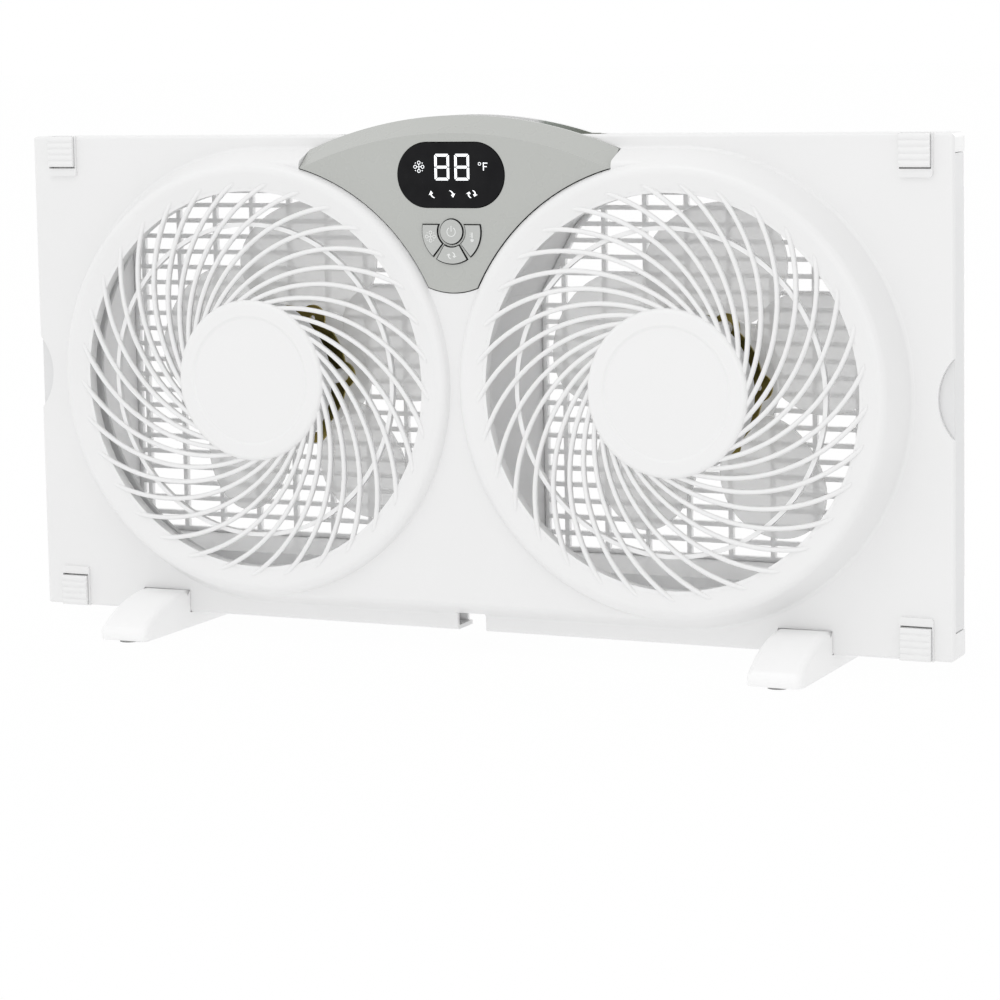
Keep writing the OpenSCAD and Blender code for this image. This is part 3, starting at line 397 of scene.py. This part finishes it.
def soften(node, width, segments=2, least_angle=28, chosen=None, clamp=True, sharp=40,
           second=None):
    """Copy of a node whose sharp edges get a rounding of the given width in mm. A second finish
    may go to the faces that a test picks."""
    bm = bmesh.new()
    bm.from_mesh(frame["nodes"][node].data)
    bmesh.ops.remove_doubles(bm, verts=bm.verts, dist=MERGE_DISTANCE)
    bmesh.ops.dissolve_limit(bm, angle_limit=math.radians(FLAT_ANGLE), verts=bm.verts,
                             edges=bm.edges)
    edges = []
    for e in bm.edges:
        middle = (e.verts[0].co + e.verts[1].co) / 2
        drawn = middle / MM + Vector((0, MIDDLE_Y, -FLOOR_Z))
        bends = len(e.link_faces) == 2 and e.calc_face_angle(0) > math.radians(least_angle)
        if bends and (chosen is None or chosen(drawn)):
            edges.append(e)
    bmesh.ops.bevel(bm, geom=edges, offset=width * MM, offset_type="OFFSET", segments=segments,
                    profile=0.5, affect="EDGES", clamp_overlap=clamp, material=-1)
    piece = add_piece(node + "_soft", bm, body_of[node], slot_of[node], sharp)
    if second:
        finish, test = second
        piece.data.materials.append(finishes[finish])
        front = min(v.co.y for v in piece.data.vertices)
        for face in piece.data.polygons:
            face.material_index = int(test(face, front))
    even = piece.modifiers.new("even_normals", "WEIGHTED_NORMAL")
    even.keep_sharp = True
    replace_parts(piece, node)


print("edges that bend by less than", FLAT_ANGLE, "degrees are dissolved")

# %% [markdown]
# Each moulding has its own amount: feet and locks are soft to the hand, panel and buttons crisp.
# One width for all would be shorter, but a fan's feet and its buttons don't look alike.
# %% Softened mouldings
FOOT_FRONT, FOOT_LOW, PLAY = -2, -9.4, 0.05


def on_foot_rim(p):
    """Edges along a foot's sides, in front of the frame and above the sole."""
    outer = abs(abs(p.x) - FOOT_X) > FOOT_HALF - PLAY
    return p.y < FOOT_FRONT and p.z > FOOT_LOW and outer


def on_panel_front(p):
    return abs(p.y - PANEL_FRONT) < PLAY


for node in ("foot_left", "foot_right"):
    soften(node, 4, segments=6, least_angle=80, chosen=on_foot_rim, clamp=False)
for corner in ("upper_left", "upper_right", "lower_left", "lower_right"):
    soften("lock_" + corner, 0.35)
for side_name in ("left", "right"):
    soften("extender_" + side_name, 0.6)
# The buttons' seam walls and the roundings beside them get black painted shade.
for key in ("power", "fan", "airflow", "temperature"):
    soften(key + "_button", 0.16, clamp=False, second=("black_plastic", seam_painted_shade))
soften("rear_housing", 0.7)
# The front of the handle's arch gets the olive painted shade.
soften("carry_handle", 0.7, second=("arch_painted_shade", arch_shade_face))
soften("display_lens", 0.2)
# The panel's seam walls and the roundings at its front edge get black painted shade.
soften("control_panel", 0.24, least_angle=60, chosen=on_panel_front, clamp=False, sharp=12,
       second=("black_plastic", seam_painted_shade))

# %% [markdown]
# ## Figures of the display and prints on the buttons
# All are thin raised shapes in the plane of the panel. Text objects could write the digits, but
# not the signs, and an image would need unwrapping. A stroke is a strip along a path with its
# own width at each point, so one helper draws bars, rings and curved arrows, in mm.
# %% Drawing helpers
def stroke(bm, path, widths):
    """Strip along a path of (x, z) points, each with its own width."""
    rows = []
    for k, (x, z) in enumerate(path):
        x0, z0 = path[max(k - 1, 0)]
        x1, z1 = path[min(k + 1, len(path) - 1)]
        way = Vector((x1 - x0, z1 - z0)).normalized()
        half = Vector((-way.y, way.x)) * widths[k] / 2
        rows.append([bm.verts.new((x + half.x, 0, z + half.y)),
                     bm.verts.new((x - half.x, 0, z - half.y))])
    for a, b in zip(rows, rows[1:]):
        bm.faces.new((a[0], a[1], b[1], b[0]))


def patch(bm, points):
    bm.faces.new([bm.verts.new((x, 0, z)) for x, z in points])


def arc(x, z, r, start, end, steps=16):
    """Points along an arc, in degrees from +X towards +Z."""
    turns = [math.radians(start + (end - start) * k / steps) for k in range(steps + 1)]
    return [(x + r * math.cos(t), z + r * math.sin(t)) for t in turns]


def ring(bm, x, z, r, width, start=0, end=360, steps=24):
    path = arc(x, z, r, start, end, steps)
    stroke(bm, path, [width] * len(path))


def raise_print(name, bm, x, y, z, height, finish, body):
    """Raises the drawn shapes towards the room and puts them at a place given in mm."""
    bmesh.ops.recalc_face_normals(bm, faces=bm.faces)
    grown = bmesh.ops.extrude_face_region(bm, geom=bm.faces[:])
    front = [v for v in grown["geom"] if isinstance(v, bmesh.types.BMVert)]
    bmesh.ops.translate(bm, verts=front, vec=(0, -height, 0))
    bmesh.ops.recalc_face_normals(bm, faces=bm.faces)
    bmesh.ops.scale(bm, verts=bm.verts, vec=(MM, MM, MM))
    bmesh.ops.translate(bm, verts=bm.verts, vec=at(x, y, z))
    piece = add_piece(name, bm, body, finish, 20)
    print(name, "has", len(piece.data.polygons), "faces")


# %% [markdown]
# A figure of the display has seven bars with hairline gaps between them. The outline could be
# one shape with cuts, but each bar is a lamp of its own on the real display, so each is drawn by
# itself: the level ones are mitred at both ends, and the upright ones slant to the middle bar.
# %% Figures
DIGIT_H, DIGIT_W, BAR, HAIR, CLIP = 15.6, 9.6, 1.6, 0.32, 0.8


def level_bar(bm, x, z, half, up):
    """Top or bottom bar: long outside, cut at 45 degrees, outer corners clipped."""
    w = BAR / 2
    right = [(half - CLIP, w), (half - CLIP / 2 - HAIR, w - CLIP / 2), (half - BAR - HAIR, -w)]
    left = [(-u, v) for u, v in reversed(right)]
    patch(bm, [(x + u, z + up * v) for u, v in right + left])


def upright(bm, x, z, half, out, up):
    """Side bar: clipped towards the corner of the figure, slanted towards the middle bar."""
    w = BAR / 2
    points = [(w, half - CLIP), (w - CLIP / 2, half - CLIP / 2 - HAIR), (-w, half - BAR - HAIR),
              (-w, -half + w + HAIR), (0, -half + HAIR), (w, -half + HAIR)]
    patch(bm, [(x + out * u, z + up * v) for u, v in points])


def eight(bm, x, z):
    w, h = (DIGIT_W - BAR) / 2, (DIGIT_H - BAR) / 2
    side_half = DIGIT_H / 4
    for up in (-1, 1):
        level_bar(bm, x, z + up * h, DIGIT_W / 2, up)
        for out in (-1, 1):
            upright(bm, x + out * w, z + up * side_half, side_half, out, up)
    tip = [(w - HAIR, 0), (w - HAIR - BAR / 2, BAR / 2)]
    low = [(-w + HAIR + BAR / 2, -BAR / 2), (w - HAIR - BAR / 2, -BAR / 2)]
    middle_bar = tip + [(-u, v) for u, v in reversed(tip)] + low
    patch(bm, [(x + u, z + v) for u, v in middle_bar])


def degree_f(bm, x, z):
    ring(bm, x, z + 1.9, 0.84, 0.32)
    stroke(bm, [(x + 2.5, z - 2), (x + 2.5, z + 2.6)], [0.58, 0.58])
    stroke(bm, [(x + 2.3, z + 2.35), (x + 5.1, z + 2.35)], [0.5, 0.5])
    stroke(bm, [(x + 2.3, z + 0.3), (x + 4.7, z + 0.3)], [0.5, 0.5])


print("a figure is", DIGIT_W, "by", DIGIT_H, "mm")

# %% [markdown]
# The two other kinds of sign are a fan wheel and bent arrows. Both stand on the display and on
# the buttons in other sizes, so they are drawn as shares of a size. An arrow's arc could keep
# one width, but it swells towards its head, as if drawn with a brush.
# %% Signs
ARROW_STEPS, TAIL_SHARE, HEAD_SHARE, HEAD_TURN = 10, 0.45, 1.6, 38
TIP_TURN = 40


def blower(bm, x, z, size, width):
    """Fan sign: four looped blades on spokes, and a small turning tip between each two."""
    for quarter in range(4):
        turn = math.radians(90 * quarter)
        c, s = size * math.cos(turn), size * math.sin(turn)
        ring(bm, x + 0.52 * c, z + 0.52 * s, 0.2 * size, width, steps=14)
        spoke = [(x + 0.03 * c, z + 0.03 * s), (x + 0.31 * c, z + 0.31 * s)]
        stroke(bm, spoke, [width, width])
        turn += math.radians(TIP_TURN)
        c, s = size * math.cos(turn), size * math.sin(turn)
        patch(bm, [(x + 0.76 * c, z + 0.76 * s),
                   (x + 0.66 * c - 0.16 * s, z + 0.66 * s + 0.16 * c),
                   (x + 0.58 * c, z + 0.58 * s)])


def curved_arrow(bm, x, z, r, start, end, width):
    """Arc that swells towards an arrow head at its end."""
    path = arc(x, z, r, start, end, ARROW_STEPS)
    stroke(bm, path, [width * (TAIL_SHARE + (1 - TAIL_SHARE) * k / ARROW_STEPS)
                      for k in range(ARROW_STEPS + 1)])
    way = 1 if end > start else -1
    tip = math.radians(end + way * HEAD_TURN)
    turn = math.radians(end)
    out, inner = r + HEAD_SHARE * width, r - HEAD_SHARE * width
    patch(bm, [(x + out * math.cos(turn), z + out * math.sin(turn)),
               (x + r * math.cos(tip), z + r * math.sin(tip)),
               (x + inner * math.cos(turn), z + inner * math.sin(turn))])


print("an arrow's head is", 2 * HEAD_SHARE, "times as wide as its arc")

# %% [markdown]
# The display shows two figures with their unit between a fan wheel at the left and three arrow
# signs below. They could be five pieces, but they lie on one window and never move apart, so
# they are one. Its height is a twentieth of a millimetre, enough to lie clear of the window.
# %% Display
DIGITS_X, UNIT_X, FIGURES_Z = (-5.5, 7.5), 19, 4.6
ARROWS = ((-9.9, -10.3, 3.2, 258, 199, 0.9), (-1.5, -12.3, 3.2, 78, 19, 0.9),
          (13.7, -11.2, 2.2, 258, 176, 0.95), (13.7, -11.2, 2.2, 78, -4, 0.95))
FIGURES_HEIGHT = 0.05

figures = bmesh.new()
for digit_x in DIGITS_X:
    eight(figures, digit_x, FIGURES_Z)
degree_f(figures, UNIT_X, FIGURES_Z)
blower(figures, -20.5, 4.8, 4.7, 0.34)
for arrow in ARROWS:
    curved_arrow(figures, *arrow)
raise_print("display_figures", figures, 0, LENS_FRONT, LENS_Z, FIGURES_HEIGHT, "led_white",
            "housing")

# %% [markdown]
# The signs on the four buttons are printed in a pale ink. They could be colours in the buttons'
# finish, but a thin raised print is how the ink lies on the real ones. Each rides on the body of
# its own button, so that it goes down with it.
# %% Prints on the buttons
INK_HEIGHT = 0.04
OUTER_SIGN_X, OUTER_SIGN_Z = SECTOR_R - 0.6, BUTTON_Z - 3


def button_sign(key, bm, x, z):
    raise_print(key + "_sign", bm, x, BUTTON_FRONT, z, INK_HEIGHT, "pale_print", key + "_key")


sign = bmesh.new()
ring(sign, 0, -0.1, 2.7, 0.5, 122, 418)
stroke(sign, [(0, 0), (0, 3.4)], [0.5, 0.5])
button_sign("power", sign, 0, BUTTON_Z)

sign = bmesh.new()
blower(sign, 0, 0, 4.6, 0.4)
button_sign("fan", sign, -OUTER_SIGN_X, OUTER_SIGN_Z)

sign = bmesh.new()
curved_arrow(sign, 0, 0, 2, 258, 176, 0.85)
curved_arrow(sign, 0, 0, 2, 78, -4, 0.85)
button_sign("airflow", sign, 0, BUTTON_Z - SECTOR_R)

sign = bmesh.new()
stroke(sign, [(0, -1.2), (0, 2.6)], [0.75, 0.75])
patch(sign, arc(0, -1.9, 1.05, 0, 345, 23))
for rise in (0.3, 1.3, 2.3):
    stroke(sign, [(-1.5, rise), (-0.8, rise)], [0.28, 0.28])
button_sign("temperature", sign, OUTER_SIGN_X, OUTER_SIGN_Z)

# %% [markdown]
# ## Screws with cross recesses
# CAD's screws have plain heads. On the real ones each head is domed, with a cross sunk into it.
# A boolean could cut the cross, but it leaves a messy mesh on a head this small. Here the
# cross's outline is bridged to the head's rim, and its floor is pushed in.
# %% Screw helper
SPIN_STEPS = 24
CORE_SHARE, ARM_SHARE, SUNK_SHARE, FLOOR_SHARE = 0.17, 0.62, 0.6, 0.7


def cross_screw(place, head_r, head_t, shank_r, shank_len):
    """Screw that points to the room, with the underside of its head at the place, in mm."""
    bm = bmesh.new()
    profile = [(0, -shank_len), (shank_r * 0.5, -shank_len), (shank_r, 1 - shank_len),
               (shank_r, 0), (head_r, 0), (head_r, 0.45 * head_t),
               (0.88 * head_r, 0.82 * head_t)]
    verts = [bm.verts.new((x, y, 0)) for x, y in profile]
    outline = [bm.edges.new(pair) for pair in zip(verts, verts[1:])]
    bmesh.ops.spin(bm, geom=verts + outline, cent=(0, 0, 0), axis=(0, 1, 0), angle=math.tau,
                   steps=SPIN_STEPS, use_merge=True)
    bmesh.ops.remove_doubles(bm, verts=bm.verts, dist=0.0001)
    rim_edges = [e for e in bm.edges if e.is_boundary]
    # The cross: a square grown into four arms
    half, arm = CORE_SHARE * head_r, ARM_SHARE * head_r
    corners = ((-half, -half), (half, -half), (half, half), (-half, half))
    core = [bm.verts.new((x, head_t, z)) for x, z in corners]
    middle = bm.faces.new(core)
    for edge in middle.edges[:]:
        grown = bmesh.ops.extrude_edge_only(bm, edges=[edge])["geom"]
        tips = [v for v in grown if isinstance(v, bmesh.types.BMVert)]
        away = (edge.verts[0].co + edge.verts[1].co) / 2 - Vector((0, head_t, 0))
        bmesh.ops.translate(bm, verts=tips, vec=away.normalized() * (arm - half))
    cross_faces = [f for f in bm.faces if all(abs(v.co.y - head_t) < 1e-5 for v in f.verts)]
    cross_edges = [e for e in bm.edges if e.is_boundary and e not in rim_edges]
    bmesh.ops.bridge_loops(bm, edges=rim_edges + cross_edges)
    # The recess: the cross's faces go down and taper
    sunk = bmesh.ops.extrude_face_region(bm, geom=cross_faces)["geom"]
    bmesh.ops.delete(bm, geom=cross_faces, context="FACES")
    floor_verts = [v for v in sunk if isinstance(v, bmesh.types.BMVert)]
    bmesh.ops.scale(bm, verts=floor_verts, vec=(FLOOR_SHARE, 1, FLOOR_SHARE))
    bmesh.ops.translate(bm, verts=floor_verts, vec=(0, -SUNK_SHARE * head_t, 0))
    bmesh.ops.scale(bm, verts=bm.verts, vec=(MM, MM, MM))
    bmesh.ops.translate(bm, verts=bm.verts, vec=at(*place))
    bmesh.ops.recalc_face_normals(bm, faces=bm.faces)
    part = bpy.data.meshes.new("screw")
    bm.to_mesh(part)
    bm.free()
    return part


print("a cross is", ARM_SHARE, "of its head's width")

# %% [markdown]
# Eight screws hold the rear housing to the front one, and three hold each motor's bracket to its
# posts. Each screw could be an object, but a node of the frame is replaced as a whole, so all
# the screws of a node are one piece.
# %% Screws
SCREW_COLUMNS = (60 - SIDE_X, -112, 112, SIDE_X - 60)
SCREW_ROWS = (7.6, TOP_Z - 5.1)
MOTOR_SCREW_R, MOTOR_SCREW_Y = 40, 25


def screw_set(name, node, places, head_r, head_t):
    """All the screws of a node in one piece that replaces it."""
    screws = bmesh.new()
    for place in places:
        part = cross_screw(place, head_r, head_t, shank_r=1.4, shank_len=12)
        screws.from_mesh(part)
        bpy.data.meshes.remove(part)
    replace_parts(add_piece(name, screws, body_of[node], "zinc_screw"), node)
    print(name, len(places))


screw_set("housing_screws_cross", "housing_screws",
          [(x, FRAME_BACK, z) for x in SCREW_COLUMNS for z in SCREW_ROWS],
          head_r=2.4, head_t=1.8)
motor_places = []
for fan_side in (-1, 1):
    for k in range(3):
        turn = math.radians(120 * k if fan_side < 0 else 180 - 120 * k)
        motor_places.append((fan_side * FAN_X + MOTOR_SCREW_R * math.cos(turn), MOTOR_SCREW_Y,
                             FAN_Z + MOTOR_SCREW_R * math.sin(turn)))
screw_set("motor_screws_cross", "motor_screws", motor_places, head_r=3, head_t=2)

# %% [markdown]
# ## Stage
# The fan stands on pale paper in a white studio. A real photographer would flood the paper with
# light until it is white, but that would burn out the white fan too. Here the camera sees the
# paper almost as pure white through Light Path, and the other rays get a softer glow from it.
# %% Stage
FLOOR_REACH = 40
SEEN_SHARE, LIT_SHARE = 0.97, 0.7

floor_mesh = bpy.data.meshes.new("floor")
bm = bmesh.new()
bmesh.ops.create_grid(bm, x_segments=1, y_segments=1, size=FLOOR_REACH)
bm.to_mesh(floor_mesh)
bm.free()
floor = bpy.data.objects.new("floor", floor_mesh)
scene.collection.objects.link(floor)
floor_finish = bpy.data.materials.new("floor_paper")
floor_finish.use_nodes = True
nodes, links = floor_finish.node_tree.nodes, floor_finish.node_tree.links
paper = nodes["Principled BSDF"]
paper.inputs["Base Color"].default_value = (0.93, 0.93, 0.93, 1)
paper.inputs["Roughness"].default_value = 0.9
paper.inputs["Specular IOR Level"].default_value = 0.1
paths = nodes.new("ShaderNodeLightPath")
bright = nodes.new("ShaderNodeEmission")
bright.inputs["Strength"].default_value = 1
seen, glowing = nodes.new("ShaderNodeMixShader"), nodes.new("ShaderNodeMixShader")
for mix, share in ((seen, SEEN_SHARE), (glowing, LIT_SHARE)):
    mix.inputs["Fac"].default_value = share
    links.new(paper.outputs["BSDF"], mix.inputs[1])
    links.new(bright.outputs["Emission"], mix.inputs[2])
direct = nodes.new("ShaderNodeMixShader")
links.new(paths.outputs["Is Camera Ray"], direct.inputs["Fac"])
links.new(glowing.outputs["Shader"], direct.inputs[1])
links.new(seen.outputs["Shader"], direct.inputs[2])
links.new(direct.outputs["Shader"], nodes["Material Output"].inputs["Surface"])
floor_mesh.materials.append(floor_finish)
print("floor paper reaches", FLOOR_REACH, "m each way")

# %% [markdown]
# ## World
# The world is the studio's white walls and ceiling. One strength all round would light the fan
# flatly, so it is a little stronger from the left and from above, and what the camera or a
# gloss sees of it stays pure white.
# %% World
FROM_LEFT, FROM_RIGHT, FROM_ABOVE = 0.92, 0.8, 0.16

world = bpy.data.worlds.new("studio")
scene.world = world
world.use_nodes = True
nodes, links = world.node_tree.nodes, world.node_tree.links
paths = nodes.new("ShaderNodeLightPath")
reach = nodes.new("ShaderNodeMath")
reach.operation = "MAXIMUM"
links.new(paths.outputs["Is Camera Ray"], reach.inputs[0])
links.new(paths.outputs["Is Glossy Ray"], reach.inputs[1])
heading = nodes.new("ShaderNodeSeparateXYZ")
links.new(nodes.new("ShaderNodeTexCoord").outputs["Generated"], heading.inputs["Vector"])
across = spread(nodes, links, heading.outputs["X"], FROM_LEFT, FROM_RIGHT, -1, 1)
above = spread(nodes, links, heading.outputs["Z"], 0, FROM_ABOVE, 0, 1)
both = nodes.new("ShaderNodeMath")
both.operation = "ADD"
links.new(across, both.inputs[0])
links.new(above, both.inputs[1])
level_of = nodes.new("ShaderNodeMapRange")
links.new(both.outputs["Value"], level_of.inputs["To Min"])
level_of.inputs["To Max"].default_value = 1
links.new(reach.outputs["Value"], level_of.inputs["Value"])
links.new(level_of.outputs["Result"], nodes["Background"].inputs["Strength"])
nodes["Background"].inputs["Color"].default_value = (1, 1, 1, 1)
print("world from left, right and above:", FROM_LEFT, FROM_RIGHT, FROM_ABOVE)

# %% [markdown]
# ## Lamps
# Three soft boxes model the shapes: a large one above and in front for the ribs, a low one in
# front for the bezels, and one behind, whose light comes through the lattice. Sun lamps would
# be simpler, but their shadows are hard, and the picture's are soft, so disks of light are used.
# %% Lamps
def lamp(name, place, size, power):
    """A disk of light that is aimed at the fan's middle."""
    data = bpy.data.lights.new(name, "AREA")
    data.shape = "DISK"
    data.size = size
    data.energy = power
    obj = bpy.data.objects.new(name, data)
    obj.location = place
    obj.rotation_mode = "QUATERNION"
    aim = Vector((0, 0, MID_HEIGHT)) - Vector(place)
    obj.rotation_quaternion = aim.to_track_quat("-Z", "Y")
    scene.collection.objects.link(obj)


lamp("key_lamp", (-0.3, -0.8, 2.0), size=1.1, power=3.5)
lamp("front_lamp", (0.5, -1.75, 0.3), size=0.9, power=2)
lamp("rear_lamp", (0.9, 2.2, 0.9), size=1.5, power=6)
scene.view_settings.view_transform = "Standard"
